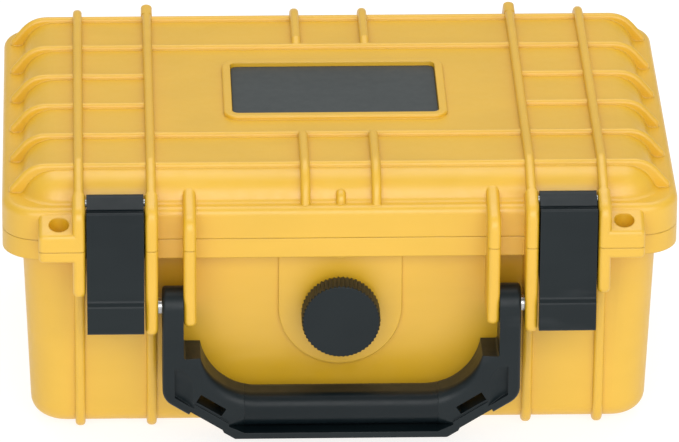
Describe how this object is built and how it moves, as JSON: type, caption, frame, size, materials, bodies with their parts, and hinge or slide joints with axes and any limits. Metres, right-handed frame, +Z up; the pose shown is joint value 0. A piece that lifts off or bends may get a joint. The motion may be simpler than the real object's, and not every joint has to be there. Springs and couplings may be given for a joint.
{
  "type": "hard case",
  "caption": "Small moulded hard case with a ribbed domed lid on rear hinges, front latches with steel pins, a folding bail handle and a screw pressure valve.",
  "frame": {"origin": "on the ground under the middle of the closed case", "axes": "+X to the right seen from the latches, +Y to the hinges at the back, +Z up"},
  "size_m": [0.212, 0.167, 0.0918],
  "materials": {
    "shell": "fine moulded satin",
    "hardware": "satin moulded",
    "grip": "smooth satin",
    "plate": "matt",
    "pin": "drawn",
    "seal": "matt"
  },
  "bodies": {
    "base": {"base_shell": "shell", "handle_pin_left": "pin", "handle_pin_right": "pin", "hinge_pin_left": "pin", "hinge_pin_right": "pin", "valve_bush": "hardware", "valve_gasket": "seal", "valve_nut": "hardware"},
    "lid": {"lid_shell": "shell", "lid_seal": "seal", "label_plate": "plate", "latch_pin_left": "pin", "latch_pin_right": "pin"},
    "latch_left": {"latch_left": "hardware"},
    "latch_right": {"latch_right": "hardware"},
    "handle": {"handle_frame": "hardware", "handle_grip": "grip"},
    "valve_ring": {"valve_o_ring": "seal"},
    "valve_knob": {"valve_knob": "hardware"}
  },
  "joints": [
    {"name": "lid_hinge", "type": "hinge", "parent": "base", "child": "lid", "pos_m": [0, 0.0783, 0.0706], "axis": [-1, 0, 0], "range_deg": [0, 120]},
    {"name": "latch_left_swing", "type": "hinge", "parent": "lid", "child": "latch_left", "pos_m": [-0.0707, -0.073, 0.08355], "axis": [-1, 0, 0], "range_deg": [0, 150]},
    {"name": "latch_right_swing", "type": "hinge", "parent": "lid", "child": "latch_right", "pos_m": [0.0707, -0.073, 0.08355], "axis": [-1, 0, 0], "range_deg": [0, 150]},
    {"name": "handle_swing", "type": "hinge", "parent": "base", "child": "handle", "pos_m": [0, -0.0765, 0.0495], "axis": [-1, 0, 0], "range_deg": [-5, 120]},
    {"name": "valve_lift", "type": "slide", "parent": "base", "child": "valve_ring", "axis": [0, -1, 0], "range_m": [0, 0.0015]},
    {"name": "valve_turn", "type": "hinge", "parent": "valve_ring", "child": "valve_knob", "pos_m": [0, -0.07, 0.0438], "axis": [0, -1, 0], "range_deg": [0, 360]}
  ],
  "couplings": [
    {"joint": "valve_lift", "follows": "valve_turn", "m_per_rad": 0.00023873}
  ]
}
